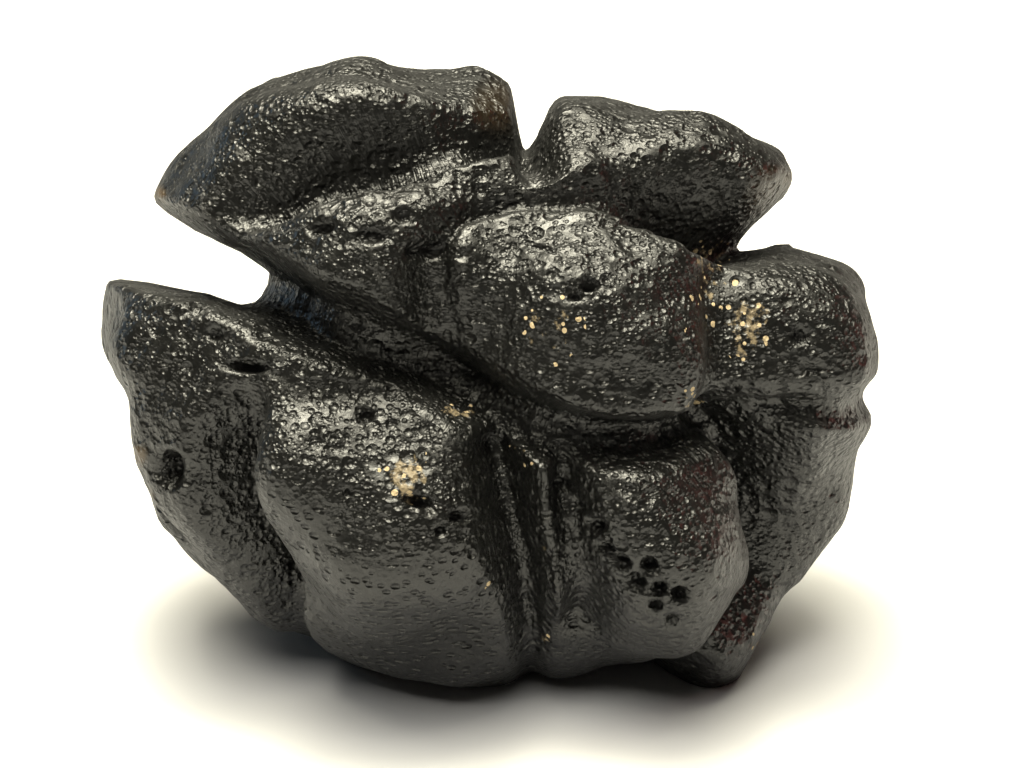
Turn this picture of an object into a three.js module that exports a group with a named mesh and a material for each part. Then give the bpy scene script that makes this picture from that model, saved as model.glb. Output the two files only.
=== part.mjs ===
// A raw philippinite: a natural lump of black glass, deeply furrowed and lobed, about 62 mm wide.
// The whole stone is one radius for each direction from its middle: a rounded block inside an
// outline, plus swells for its lobes, less furrows that are cut along paths over its face. A ball
// of triangles takes that radius.
import * as THREE from "three";
import { mergeVertices } from "three/addons/utils/BufferGeometryUtils.js";

const DEGREE = Math.PI / 180;

// The stone is described as a viewer sees it, in mm: x to the right, y up, z towards the viewer.
const VIEW_DOWN = 22 * DEGREE; // the viewer looks down at the standing stone by this much
const FLOOR_DROP = 22.3; // from the stone's middle down to the surface that it stands on
const HALF_DEPTH = 19; // from the stone's middle to its near and far faces
const BLOCKINESS = 2.6; // of a section from the outline to a face; 2 would be an ellipse

// The outline against the light, without the furrows that notch it:
// [angle in degrees from the right, radius].
const OUTLINE = [
  [-168, 28.9], [-157, 29.3], [-148, 28.2], [-137, 26.7], [-127, 26.3], [-116, 25.5], [-104, 25.0],
  [-91, 25.0], [-78, 24.4], [-68, 24.8], [-61, 27.2], [-54, 30.6], [-49, 31.2], [-42, 29.2],
  [-35, 27.6], [-27, 26.6], [-16, 28.8], [-7, 30.6], [1, 30.6], [9, 30.6], [16, 29.8], [23, 27.2],
  [30, 29.2], [37, 29.4], [45, 27.2], [53, 25.5], [61, 24.1], [72, 23.6], [82, 23.6], [92, 24.4],
  [100, 24.9], [107, 25.8], [114, 27.2], [122, 28.4], [132, 29.9], [142, 30.2], [151, 31.2],
  [160, 32.0], [169, 32.0], [176, 31.2], [184, 28.9],
];

// Swells: [x, y, side, half length, half breadth, roll in degrees, height]. The side is 1 on the
// face that the viewer sees, -1 on the far face, 0 on the outline, and a share of 1 in between.
const SWELLS = {
  belly: [0, -10, 1, 27, 13, 0, 2.6],
  crest: [-9, 20, 1, 16, 5, 6, 2.4],
  ledge: [-9, 6.6, 1, 13, 9.4, 20, 3.4],
  middle_lobe: [8, 1.2, 1, 11, 13, -8, 3.7],
  upper_right_lobe: [15, 18, 0.8, 11, 6, -20, 1.2],
  right_lobe: [25, 0.5, 0.8, 7, 10, 0, 2.4],
  lower_right_lobe: [13, -14, 1, 9.5, 12, 0, 3.4],
  big_lobe: [-8.5, -11.5, 1, 12, 12, 0, 3],
  left_lobe: [-23, -5.5, 0.85, 8, 13.5, 20, 2.6],
  left_shelf: [-16.5, -5, 1, 9, 9, 12, 3.0],
  lower_right_edge: [26, -13.5, 0.8, 6.5, 11, 0, 3.2],
  foot: [17, -25, 0, 5, 5, 0, 0.8],
  underside: [2, -20, -0.66, 36, 11, 0, -3.8],
  far_rest_left: [-8, -18.5, -1, 7, 6, 0, 3.2],
  far_rest_right: [12, -18.5, -1, 7, 6, 0, 2.6],
};

// Furrows: how sharply each is cut, and its path of [x, y, side, half width, depth].
const FURROWS = {
  main: [4, [
    [24, -3.4, 1, 1.6, 3.5], [19, -4.2, 1, 1.6, 4.2], [13, -4.9, 1, 1.6, 4.2], [6, -4.7, 1, 1.8, 4.6],
    [1, -3, 1, 2.3, 5.5], [-4.1, 0.4, 1, 2.2, 5.5], [-9.5, 2.9, 1, 2.4, 5.4], [-15.8, 5.3, 1, 2.7, 6.4],
    [-20.7, 8.1, 1, 2.8, 9], [-26, 9.9, 0.5, 3.0, 12.4], [-40, 15, 0, 2.7, 13],
    [-26, 9.9, -0.5, 3.0, 12.4], [-20.7, 8.3, -1, 2.8, 9], [-14, 4, -1, 2.2, 5], [-7, 1.5, -1, 2, 4.5],
    [1, 2, -1, 2.1, 4.5], [9, 5, -1, 2, 4.5], [16, 8, -1, 1.9, 5], [20.5, 10.7, -1, 1.8, 6.5],
    [24.2, 12.9, -0.5, 1.5, 6.2], [25.6, 13.4, 0, 1.3, 6],
  ]],
  crest: [2, [
    [-24, 11.6, 1, 1.6, 1.5], [-20, 13, 1, 1.8, 3], [-16, 15, 1, 2, 4.4], [-11.8, 16.3, 1, 2.1, 5],
    [-7.2, 17.6, 1, 2.1, 5], [-3.2, 18.6, 1, 1.9, 4.6], [0.5, 19.6, 1, 1.6, 4.2], [3, 21, 1, 1.4, 4],
  ]],
  top_notch: [2.2, [
    [4, 17, 1, 1.5, 3], [3.4, 20.5, 1, 1.5, 5.5], [3.65, 23.8, 0, 1.35, 6.4], [3.2, 20.5, -1, 1.6, 6],
    [1, 14, -1, 1.7, 4], [-2, 8, -1, 1.8, 3.6], [-4, 2, -1, 1.8, 3.6],
  ]],
  collar: [1.8, [
    [-4.2, 2.8, 1, 1.8, 3.2], [-4.6, 6.6, 1, 1.7, 3.8], [-4.0, 9.6, 1, 1.2, 2.6],
    [-2.4, 12.4, 1, 0.7, 1.5], [1, 13.8, 1, 0.6, 1.3], [4.8, 14, 1, 0.7, 1.3], [9.6, 14.6, 1, 1.3, 2.4],
    [14.3, 14.2, 1, 2.4, 5.8], [19, 13.4, 1, 2.8, 8.8], [22.6, 12.6, 1, 2.1, 8.2],
    [24.6, 12.8, 0.5, 1.4, 6.4], [25.6, 13.4, 0, 1.3, 6],
  ]],
  right_of_middle: [1.8, [
    [18.5, 12, 1, 1.7, 2.2], [18.9, 6.5, 1, 1.9, 1.7], [18.4, 2.1, 1, 1.9, 1.9],
    [17.8, -2.4, 1, 1.8, 3.0],
  ]],
  right_band: [2.4, [
    [22, -2.4, 1, 1.4, 2], [26.5, -2.6, 1, 1.5, 2.2], [31, -1.2, 0, 1.2, 1], [27, -2.5, -1, 1.6, 2.6],
    [20, -4, -1, 1.8, 3.4], [14, -4, -1, 1.8, 3],
  ]],
  arch: [2.4, [
    [19.6, -3.0, 1, 1.8, 5.2], [22.6, -5.2, 1, 2.1, 6.6], [22.8, -11.6, 1, 2.2, 6.2],
    [21.6, -17.6, 1, 2.1, 5], [16.8, -21.4, 1, 1.6, 3.4], [12, -23.6, 0.5, 1.4, 1.2],
    [10.5, -23.5, -0.6, 1.5, 1.4],
  ]],
  near_groove_right: [2, [
    [5.8, -6.6, 1, 1.3, 3.2], [6.2, -10.6, 1, 1.4, 3.2], [7.2, -15.3, 1, 1.6, 3],
    [7.4, -19.4, 1, 1.4, 1.8],
  ]],
  near_groove_left: [2, [
    [0.6, -6, 1, 1.9, 4.6], [1.6, -10.8, 1, 1.9, 4.6], [2.9, -15.7, 1, 1.5, 3.8], [3.3, -20, 1, 1.2, 3],
    [3.2, -24.6, 0, 1.1, 0.6],
  ]],
  left_groove: [2.4, [
    [-18.2, -3, 1, 1.8, 3], [-19.6, -6.5, 1, 2.4, 7], [-18.8, -12.4, 1, 2.4, 6.2],
    [-17.2, -16.4, 1, 2, 4.6], [-16.2, -19.6, 1, 1.6, 2.4], [-14.6, -21.6, 0.5, 1.4, 0.6],
    [-12, -20, -0.9, 1.8, 1],
  ]],
  outer_left_groove: [2.2, [
    [-29.6, 0, 0.3, 1.1, 1], [-28.2, -3.6, 0.6, 1.5, 4.4], [-26.6, -7.7, 0.7, 1.9, 6.4],
    [-25.2, -11.6, 0.7, 1.6, 4.8], [-23.6, -14.6, 0.6, 1.3, 3], [-21.4, -18.4, 0.5, 1.2, 1.8],
  ]],
  far_left: [2.4, [
    [-17, 6, -1, 2, 4.5], [-20, 0, -1, 2, 3.4], [-20, -7, -1, 2, 3], [-15, -14, -1, 2, 3],
    [-12, -20, -0.9, 1.8, 2.6],
  ]],
  far_middle: [2.4, [
    [-3, 1.6, -1, 1.8, 3.6], [-2, -5, -1, 1.9, 3.2], [-1, -12, -1, 2, 3], [1, -18, -1, 1.8, 2.6],
    [2.8, -23, -0.5, 1.4, 1.4],
  ]],
  far_right: [2.4, [
    [14, 7, -1, 1.8, 4], [13, 0, -1, 1.9, 3.4], [12, -8, -1, 2, 3], [12, -16, -1, 2, 2.8],
    [11, -23, -0.6, 1.6, 2.6],
  ]],
  far_crest: [2.2, [
    [-17, 7, -1, 1.8, 4], [-17, 13, -1, 2, 3], [-11, 18, -1, 2, 2.6], [-2, 19, -1, 1.8, 2.6],
  ]],
};

// Waves: slow unevenness all over the stone, [wave vector in radians per mm, start, height in mm].
const WAVES = [
  [[0.31, 0.55, -0.2], 0.3, 0.2],
  [[-0.48, 0.22, 0.4], 1.7, 0.18],
  [[0.15, -0.62, 0.5], 2.9, 0.16],
  [[0.7, 0.1, 0.35], 4.1, 0.12],
  [[-0.2, 0.45, 0.75], 5.3, 0.12],
];

const BALL_DETAIL = 21; // how finely each face of the ball's icosahedron is divided
const SEAM_GAP = 1e-5; // points of the ball nearer than this share of its radius are one point
const RELAX_ROUNDS = 40;
const SMOOTH_STEPS = [0.5, -0.52, 0.5, -0.52]; // a share inwards, then one outwards, so that nothing shrinks

const unit = (v) => {
  const length = Math.hypot(...v);
  return v.map((c) => c / length);
};
const dot = (a, b) => a[0] * b[0] + a[1] * b[1] + a[2] * b[2];
const cross = (a, b) => [
  a[1] * b[2] - a[2] * b[1], a[2] * b[0] - a[0] * b[2], a[0] * b[1] - a[1] * b[0],
];

// The outline's radius at an angle in degrees: a cubic between each two points, whose slope at a
// point is that of the line through its neighbours.
function outlineRadius(angle) {
  const n = OUTLINE.length;
  const at = (i) => {
    const turn = Math.floor(i / n);
    const [a, r] = OUTLINE[i - turn * n];
    return [a + 360 * turn, r];
  };
  while (angle < at(0)[0]) angle += 360;
  while (angle >= at(n)[0]) angle -= 360;
  let i = 0;
  while (at(i + 1)[0] <= angle) i++;
  const [before, from, to, after] = [at(i - 1), at(i), at(i + 1), at(i + 2)];
  const span = to[0] - from[0], t = (angle - from[0]) / span;
  const leave = ((to[1] - before[1]) / (to[0] - before[0])) * span;
  const arrive = ((after[1] - from[1]) / (after[0] - from[0])) * span;
  return (
    from[1] * (2 * t ** 3 - 3 * t ** 2 + 1) + leave * (t ** 3 - 2 * t ** 2 + t) +
    to[1] * (3 * t ** 2 - 2 * t ** 3) + arrive * (t ** 3 - t ** 2)
  );
}

// The block's radius in a direction: the outline across the view, rounded off to the half depth along it.
function blockRadius(d) {
  const across = Math.hypot(d[0], d[1]);
  const rim = outlineRadius(Math.atan2(d[1], d[0]) / DEGREE);
  return ((across / rim) ** BLOCKINESS + Math.abs(d[2] / HALF_DEPTH) ** BLOCKINESS) ** (-1 / BLOCKINESS);
}

// The direction of the point of the block that lies over (x, y), on the side asked for.
function directionAt(x, y, side) {
  const share = Math.hypot(x, y) / outlineRadius(Math.atan2(y, x) / DEGREE);
  const depth = HALF_DEPTH * Math.max(1 - share ** BLOCKINESS, 0) ** (1 / BLOCKINESS);
  return unit([x, y, side * depth]);
}

const swells = Object.values(SWELLS).map(([x, y, side, length, breadth, roll, height]) => {
  const middle = directionAt(x, y, side);
  const across = unit(cross([0, 1, 0], middle));
  const up = cross(middle, across);
  const c = Math.cos(roll * DEGREE), s = Math.sin(roll * DEGREE);
  const radius = blockRadius(middle);
  return {
    middle, height,
    along: across.map((v, i) => ((c * v + s * up[i]) * radius) / length),
    over: across.map((v, i) => ((-s * v + c * up[i]) * radius) / breadth),
  };
});

// Beyond this cosine from its middle, a swell isn't looked for.
const SWELL_HORIZON = 0.2;

function swellHeight(d) {
  let total = 0;
  for (const w of swells) {
    const facing = dot(d, w.middle);
    if (facing <= SWELL_HORIZON) continue;
    const square = (dot(d, w.along) ** 2 + dot(d, w.over) ** 2) / facing ** 2;
    if (square < 1) total += w.height * (1 - square) ** 2;
  }
  return total;
}

const CORNER_CUT = 0.25; // of each stretch of a path, at both its ends

// One round of corner cutting turns a path's corners into bends.
function rounded(path) {
  const out = [path[0]];
  for (let i = 0; i + 1 < path.length; i++)
    for (const t of [CORNER_CUT, 1 - CORNER_CUT])
      out.push(path[i].map((v, k) => v + (path[i + 1][k] - v) * t));
  out.push(path.at(-1));
  return out;
}

// Beyond REACH times its half width, a furrow no longer shows.
const REACH = 6;
const furrows = Object.values(FURROWS).map(([sharpness, corners]) => {
  const path = rounded(corners.map(([x, y, side, ...size]) => [...directionAt(x, y, side), ...size]));
  const middle = unit([0, 1, 2].map((k) => path.reduce((sum, p) => sum + p[k], 0)));
  const spread = Math.max(...path.map((p) => Math.acos(Math.min(1, dot(unit(p.slice(0, 3)), middle)))));
  const margin = (REACH * Math.max(...path.map((p) => p[3]))) / HALF_DEPTH;
  return { sharpness, path, middle, nearest: Math.cos(Math.min(spread + margin, Math.PI)) };
});

const SAG_SHARE = 0.3; // of a furrow's depth that its banks sag by
const SAG_MOST = 1.3; // mm
const SAG_SPREAD = 2.5; // half widths

// The depth cut at a direction by one furrow: a round-floored trough, and a broader, shallower
// sag of its banks.
function furrowDepth(d, { sharpness, path }, radius) {
  let best = Infinity, depth = 0;
  for (let i = 0; i + 1 < path.length; i++) {
    const a = path[i], b = path[i + 1];
    const ab = [b[0] - a[0], b[1] - a[1], b[2] - a[2]];
    const ad = [d[0] - a[0], d[1] - a[1], d[2] - a[2]];
    const t = Math.min(1, Math.max(0, dot(ad, ab) / dot(ab, ab)));
    const gap = [ad[0] - t * ab[0], ad[1] - t * ab[1], ad[2] - t * ab[2]];
    const away = (Math.hypot(...gap) * radius) / (a[3] + t * (b[3] - a[3]));
    if (away < best) {
      best = away;
      depth = a[4] + t * (b[4] - a[4]);
    }
  }
  const sag = Math.min(SAG_SHARE * depth, SAG_MOST);
  return (depth - sag) * 2 ** -(best ** sharpness) + sag * Math.exp(-((best / SAG_SPREAD) ** 2));
}

// Furrows that meet join smoothly: their depths are summed as this power of them.
const JOIN_POWER = 4;

function stoneRadius(d) {
  const block = blockRadius(d);
  let cut = 0;
  for (const furrow of furrows)
    if (dot(d, furrow.middle) > furrow.nearest) cut += furrowDepth(d, furrow, block) ** JOIN_POWER;
  let radius = block + swellHeight(d) - cut ** (1 / JOIN_POWER);
  for (const [wave, start, height] of WAVES)
    radius += height * Math.sin(start + block * dot(d, wave));
  return radius;
}

// A ball whose points take the stone's radius, then creep towards the middle of their neighbours
// and back to the surface, so that steep walls get as many points as the smooth faces do.
function stoneGeometry() {
  const ball = new THREE.IcosahedronGeometry(1, BALL_DETAIL);
  ball.deleteAttribute("normal");
  ball.deleteAttribute("uv");
  const geometry = mergeVertices(ball, SEAM_GAP);
  const place = geometry.attributes.position, corners = geometry.index.array;
  const neighbours = Array.from({ length: place.count }, () => new Set());
  for (let i = 0; i < corners.length; i += 3)
    for (const [a, b] of [[0, 1], [1, 2], [2, 0]]) {
      neighbours[corners[i + a]].add(corners[i + b]);
      neighbours[corners[i + b]].add(corners[i + a]);
    }
  const onSurface = (p) => {
    const d = unit(p);
    const r = stoneRadius(d);
    return d.map((c) => c * r);
  };
  let points = Array.from({ length: place.count }, (_, i) =>
    onSurface([place.getX(i), place.getY(i), place.getZ(i)]));
  for (let round = 0; round < RELAX_ROUNDS; round++)
    points = points.map((_, i) => {
      const sum = [0, 0, 0];
      for (const n of neighbours[i]) for (let k = 0; k < 3; k++) sum[k] += points[n][k];
      return onSurface(sum);
    });
  for (const share of SMOOTH_STEPS)
    points = points.map((p, i) => {
      const sum = [0, 0, 0];
      for (const n of neighbours[i]) for (let k = 0; k < 3; k++) sum[k] += points[n][k];
      return p.map((c, k) => c + share * (sum[k] / neighbours[i].size - c));
    });
  points.forEach((p, i) => place.setXYZ(i, ...p));
  return geometry;
}

const geometry = stoneGeometry();
// Tip the viewer's frame back on to its foot, with +Z up, and trim the foot flat where it rests.
geometry.rotateX(Math.PI / 2 - VIEW_DOWN);
geometry.translate(0, 0, FLOOR_DROP);
const place = geometry.attributes.position;
for (let i = 0; i < place.count; i++) place.setZ(i, Math.max(place.getZ(i), 0));
geometry.computeBoundingBox();
const middle = geometry.boundingBox.getCenter(new THREE.Vector3());
geometry.translate(-middle.x, -middle.y, 0);
geometry.computeVertexNormals();

const stone = new THREE.Mesh(
  geometry,
  new THREE.MeshStandardMaterial({ color: 0x14140f, roughness: 0.35, metalness: 0 }),
);
stone.name = "philippinite";

const part = new THREE.Group();
part.add(stone);
export default part;
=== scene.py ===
"""A raw philippinite on a pale surface: black natural glass, furrowed, lobed and dimpled.

The stone is worked out in millimetres in the viewer's frame, x to the right, y up and z towards the viewer,
and is then stood up in the row frame in metres. Its shape is one radius for each direction from its middle.
"""
import math

import bpy
import numpy as np
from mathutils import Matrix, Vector


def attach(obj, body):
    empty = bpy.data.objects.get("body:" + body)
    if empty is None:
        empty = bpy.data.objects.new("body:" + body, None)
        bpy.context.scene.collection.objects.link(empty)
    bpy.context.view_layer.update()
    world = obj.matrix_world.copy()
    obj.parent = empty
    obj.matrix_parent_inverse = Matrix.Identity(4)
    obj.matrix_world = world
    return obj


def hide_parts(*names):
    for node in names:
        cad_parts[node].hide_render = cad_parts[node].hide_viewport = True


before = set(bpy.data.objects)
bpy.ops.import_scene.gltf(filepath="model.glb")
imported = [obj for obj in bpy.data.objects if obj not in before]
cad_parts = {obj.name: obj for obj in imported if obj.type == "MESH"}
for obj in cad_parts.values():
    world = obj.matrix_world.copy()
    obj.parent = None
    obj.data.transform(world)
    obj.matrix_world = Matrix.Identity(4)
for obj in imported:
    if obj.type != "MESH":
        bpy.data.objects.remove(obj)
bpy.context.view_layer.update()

MM = 0.001
VIEW_DOWN = math.radians(22)  # the camera's tilt
VIEW_DISTANCE = 400.0
VIEW_AXIS = (1.76, -0.72)  # where the camera's axis meets the plane through the stone's middle
FLOOR_DROP = 22.3  # from the stone's middle down to the floor
STAND_MIDDLE = (-0.225, -2.214)  # the middle of the standing stone's box, which is moved to the origin
HALF_DEPTH = 19.0
BLOCKINESS = 2.6  # the superellipse's power, where 2 is an ellipse

# The outline against the light, without the furrows' notches: [angle in degrees from the right, radius].
OUTLINE = [
    [-168, 28.9], [-157, 29.3], [-148, 28.2], [-137, 26.7], [-127, 26.3], [-116, 25.5], [-104, 25.0],
    [-91, 25.0], [-78, 24.4], [-68, 24.8], [-61, 27.2], [-54, 30.6], [-49, 31.2], [-42, 29.2],
    [-35, 27.6], [-27, 26.6], [-16, 28.8], [-7, 30.6], [1, 30.6], [9, 30.6], [16, 29.8], [23, 27.2],
    [30, 29.2], [37, 29.4], [45, 27.2], [53, 25.5], [61, 24.1], [72, 23.6], [82, 23.6], [92, 24.4],
    [100, 24.9], [107, 25.8], [114, 27.2], [122, 28.4], [132, 29.9], [142, 30.2], [151, 31.2],
    [160, 32.0], [169, 32.0], [176, 31.2], [184, 28.9],
]

# Swells: [x, y, side, half length, half breadth, roll in degrees, height]. The side is 1 on the face that
# the viewer sees, -1 on the far face, 0 on the outline between them, and a share of 1 in between.
SWELLS = {
    "belly": [0, -10, 1, 27, 13, 0, 2.6],
    "crest": [-9, 20, 1, 16, 5, 6, 2.4],
    "ledge": [-9, 6.6, 1, 13, 9.4, 20, 3.4],
    "middle_lobe": [8, 1.2, 1, 11, 13, -8, 3.7],
    "upper_right_lobe": [15, 18, 0.8, 11, 6, -20, 1.2],
    "right_lobe": [25, 0.5, 0.8, 7, 10, 0, 2.4],
    "lower_right_lobe": [13, -14, 1, 9.5, 12, 0, 3.4],
    "big_lobe": [-8.5, -11.5, 1, 12, 12, 0, 3],
    "left_lobe": [-23, -5.5, 0.85, 8, 13.5, 20, 2.6],
    "left_shelf": [-16.5, -5, 1, 9, 9, 12, 3.0],
    "lower_right_edge": [26, -13.5, 0.8, 6.5, 11, 0, 3.2],
    "foot": [17, -25, 0, 5, 5, 0, 0.8],
    "underside": [2, -20, -0.66, 36, 11, 0, -3.8],
    "far_rest_left": [-8, -18.5, -1, 7, 6, 0, 3.2],
    "far_rest_right": [12, -18.5, -1, 7, 6, 0, 2.6],
}

# Furrows: how sharply each is cut, and its path of [x, y, side, half width, depth]. The side is as above.
FURROWS = {
    "main": [4, [
        [24, -3.4, 1, 1.6, 3.5], [19, -4.2, 1, 1.6, 4.2], [13, -4.9, 1, 1.6, 4.2],
        [6, -4.7, 1, 1.8, 4.6], [1, -3, 1, 2.3, 5.5], [-4.1, 0.4, 1, 2.2, 5.5],
        [-9.5, 2.9, 1, 2.4, 5.4], [-15.8, 5.3, 1, 2.7, 6.4], [-20.7, 8.1, 1, 2.8, 9],
        [-26, 9.9, 0.5, 3.0, 12.4], [-40, 15, 0, 2.7, 13], [-26, 9.9, -0.5, 3.0, 12.4],
        [-20.7, 8.3, -1, 2.8, 9], [-14, 4, -1, 2.2, 5], [-7, 1.5, -1, 2, 4.5], [1, 2, -1, 2.1, 4.5],
        [9, 5, -1, 2, 4.5], [16, 8, -1, 1.9, 5], [20.5, 10.7, -1, 1.8, 6.5],
        [24.2, 12.9, -0.5, 1.5, 6.2], [25.6, 13.4, 0, 1.3, 6],
    ]],
    "crest": [2, [
        [-24, 11.6, 1, 1.6, 1.5], [-20, 13, 1, 1.8, 3], [-16, 15, 1, 2, 4.4], [-11.8, 16.3, 1, 2.1, 5],
        [-7.2, 17.6, 1, 2.1, 5], [-3.2, 18.6, 1, 1.9, 4.6], [0.5, 19.6, 1, 1.6, 4.2],
        [3, 21, 1, 1.4, 4],
    ]],
    "top_notch": [2.2, [
        [4, 17, 1, 1.5, 3], [3.4, 20.5, 1, 1.5, 5.5], [3.65, 23.8, 0, 1.35, 6.4],
        [3.2, 20.5, -1, 1.6, 6], [1, 14, -1, 1.7, 4], [-2, 8, -1, 1.8, 3.6], [-4, 2, -1, 1.8, 3.6],
    ]],
    "collar": [1.8, [
        [-4.2, 2.8, 1, 1.8, 3.2], [-4.6, 6.6, 1, 1.7, 3.8], [-4.0, 9.6, 1, 1.2, 2.6],
        [-2.4, 12.4, 1, 0.7, 1.5], [1, 13.8, 1, 0.6, 1.3], [4.8, 14, 1, 0.7, 1.3],
        [9.6, 14.6, 1, 1.3, 2.4], [14.3, 14.2, 1, 2.4, 5.8], [19, 13.4, 1, 2.8, 8.8],
        [22.6, 12.6, 1, 2.1, 8.2], [24.6, 12.8, 0.5, 1.4, 6.4], [25.6, 13.4, 0, 1.3, 6],
    ]],
    "right_of_middle": [1.8, [
        [18.5, 12, 1, 1.7, 2.2], [18.9, 6.5, 1, 1.9, 1.7], [18.4, 2.1, 1, 1.9, 1.9],
        [17.8, -2.4, 1, 1.8, 3.0],
    ]],
    "right_band": [2.4, [
        [22, -2.4, 1, 1.4, 2], [26.5, -2.6, 1, 1.5, 2.2], [31, -1.2, 0, 1.2, 1],
        [27, -2.5, -1, 1.6, 2.6], [20, -4, -1, 1.8, 3.4], [14, -4, -1, 1.8, 3],
    ]],
    "arch": [2.4, [
        [19.6, -3.0, 1, 1.8, 5.2], [22.6, -5.2, 1, 2.1, 6.6], [22.8, -11.6, 1, 2.2, 6.2],
        [21.6, -17.6, 1, 2.1, 5], [16.8, -21.4, 1, 1.6, 3.4], [12, -23.6, 0.5, 1.4, 1.2],
        [10.5, -23.5, -0.6, 1.5, 1.4],
    ]],
    "near_groove_right": [2, [
        [5.8, -6.6, 1, 1.3, 3.2], [6.2, -10.6, 1, 1.4, 3.2], [7.2, -15.3, 1, 1.6, 3],
        [7.4, -19.4, 1, 1.4, 1.8],
    ]],
    "near_groove_left": [2, [
        [0.6, -6, 1, 1.9, 4.6], [1.6, -10.8, 1, 1.9, 4.6], [2.9, -15.7, 1, 1.5, 3.8],
        [3.3, -20, 1, 1.2, 3], [3.2, -24.6, 0, 1.1, 0.6],
    ]],
    "left_groove": [2.4, [
        [-18.2, -3, 1, 1.8, 3], [-19.6, -6.5, 1, 2.4, 7], [-18.8, -12.4, 1, 2.4, 6.2],
        [-17.2, -16.4, 1, 2, 4.6], [-16.2, -19.6, 1, 1.6, 2.4], [-14.6, -21.6, 0.5, 1.4, 0.6],
        [-12, -20, -0.9, 1.8, 1],
    ]],
    "outer_left_groove": [2.2, [
        [-29.6, 0, 0.3, 1.1, 1], [-28.2, -3.6, 0.6, 1.5, 4.4], [-26.6, -7.7, 0.7, 1.9, 6.4],
        [-25.2, -11.6, 0.7, 1.6, 4.8], [-23.6, -14.6, 0.6, 1.3, 3], [-21.4, -18.4, 0.5, 1.2, 1.8],
    ]],
    "far_left": [2.4, [
        [-17, 6, -1, 2, 4.5], [-20, 0, -1, 2, 3.4], [-20, -7, -1, 2, 3], [-15, -14, -1, 2, 3],
        [-12, -20, -0.9, 1.8, 2.6],
    ]],
    "far_middle": [2.4, [
        [-3, 1.6, -1, 1.8, 3.6], [-2, -5, -1, 1.9, 3.2], [-1, -12, -1, 2, 3], [1, -18, -1, 1.8, 2.6],
        [2.8, -23, -0.5, 1.4, 1.4],
    ]],
    "far_right": [2.4, [
        [14, 7, -1, 1.8, 4], [13, 0, -1, 1.9, 3.4], [12, -8, -1, 2, 3], [12, -16, -1, 2, 2.8],
        [11, -23, -0.6, 1.6, 2.6],
    ]],
    "far_crest": [2.2, [
        [-17, 7, -1, 1.8, 4], [-17, 13, -1, 2, 3], [-11, 18, -1, 2, 2.6], [-2, 19, -1, 1.8, 2.6],
    ]],
}

# Waves: slow unevenness all over the stone, [wave vector in radians per mm, start, height in mm].
WAVES = [
    [[0.31, 0.55, -0.2], 0.3, 0.2],
    [[-0.48, 0.22, 0.4], 1.7, 0.18],
    [[0.15, -0.62, 0.5], 2.9, 0.16],
    [[0.7, 0.1, 0.35], 4.1, 0.12],
    [[-0.2, 0.45, 0.75], 5.3, 0.12],
]

COARSE_CELLS = 32  # squares along a side of the cube that the stone's grid is wrapped from, at first
GRID_ROUNDS = (40, 12, 5)  # rounds of evening out at that size, at twice and at four times that size

SWELL_HORIZON = 0.2  # a swell shows where the cosine between a direction and its middle is above this
CORNER_CUT = 0.25  # how much of each step is cut off at either end where a path is rounded
STEEPER = 1.5  # the fine grid takes walls this many times as sharp as the plain solid's
REACH = 6  # beyond this many half widths, a furrow no longer shows
SAG_SHARE = 0.3  # how much of a furrow's depth comes from the broad sag of its banks
SAG_LIMIT = 1.3  # the most that the banks sag
SAG_BREADTH = 2.5  # how broad the sag is, in half widths
JOIN_POWER = 4  # furrows that meet join as this root of the sum of such powers


# Directions and the stone's radius


def unit(vectors):
    """Each vector divided by its length."""
    return vectors / np.linalg.norm(vectors, axis=-1, keepdims=True)


def outline_radius(angle):
    """The outline's radius at each angle in degrees: a cubic between two points of the table, with the
    slope of the line through their neighbours at each end."""
    table = np.array(OUTLINE)
    angles = np.concatenate([table[-2:, 0] - 360, table[:, 0], table[:3, 0] + 360])
    radii = np.concatenate([table[-2:, 1], table[:, 1], table[:3, 1]])
    wrapped = table[0, 0] + (angle - table[0, 0]) % 360
    i = np.searchsorted(angles, wrapped, side="right") - 1
    span = angles[i + 1] - angles[i]
    t = (wrapped - angles[i]) / span
    leave = (radii[i + 1] - radii[i - 1]) / (angles[i + 1] - angles[i - 1]) * span
    arrive = (radii[i + 2] - radii[i]) / (angles[i + 2] - angles[i]) * span
    return (
        radii[i] * (2 * t**3 - 3 * t**2 + 1) + leave * (t**3 - 2 * t**2 + t)
        + radii[i + 1] * (3 * t**2 - 2 * t**3) + arrive * (t**3 - t**2)
    )


def block_radius(d):
    """The outline across the view, rounded off to the half depth along it, as a superellipse's radius."""
    across = np.hypot(d[..., 0], d[..., 1])
    rim = outline_radius(np.degrees(np.arctan2(d[..., 1], d[..., 0])))
    total = (across / rim) ** BLOCKINESS + np.abs(d[..., 2] / HALF_DEPTH) ** BLOCKINESS
    return total ** (-1 / BLOCKINESS)


def direction_at(x, y, side):
    """The direction of the block's point over (x, y), on the side asked for."""
    rim = outline_radius(np.degrees(np.arctan2(y, x)))
    share = np.hypot(x, y) / rim
    depth = HALF_DEPTH * np.maximum(1 - share**BLOCKINESS, 0) ** (1 / BLOCKINESS)
    return unit(np.stack([x, y, side * depth], axis=-1))


def swell_height(d):
    """The sum of the swells at each direction: height times the square of 1 less q squared, where q runs
    from 0 in a swell's middle to 1 at its edge."""
    total = np.zeros(len(d))
    for x, y, side, length, breadth, roll, height in SWELLS.values():
        middle = direction_at(float(x), float(y), side)
        across = unit(np.cross([0, 1, 0], middle))
        up = np.cross(middle, across)
        c, s = math.cos(math.radians(roll)), math.sin(math.radians(roll))
        reach = block_radius(middle)
        facing = d @ middle
        ahead = facing > SWELL_HORIZON
        safe = np.where(ahead, facing, 1)
        u = d @ (c * across + s * up) * reach / length / safe
        v = d @ (c * up - s * across) * reach / breadth / safe
        square = np.where(ahead, u**2 + v**2, 1)
        total += height * np.maximum(1 - square, 0) ** 2
    return total


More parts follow.
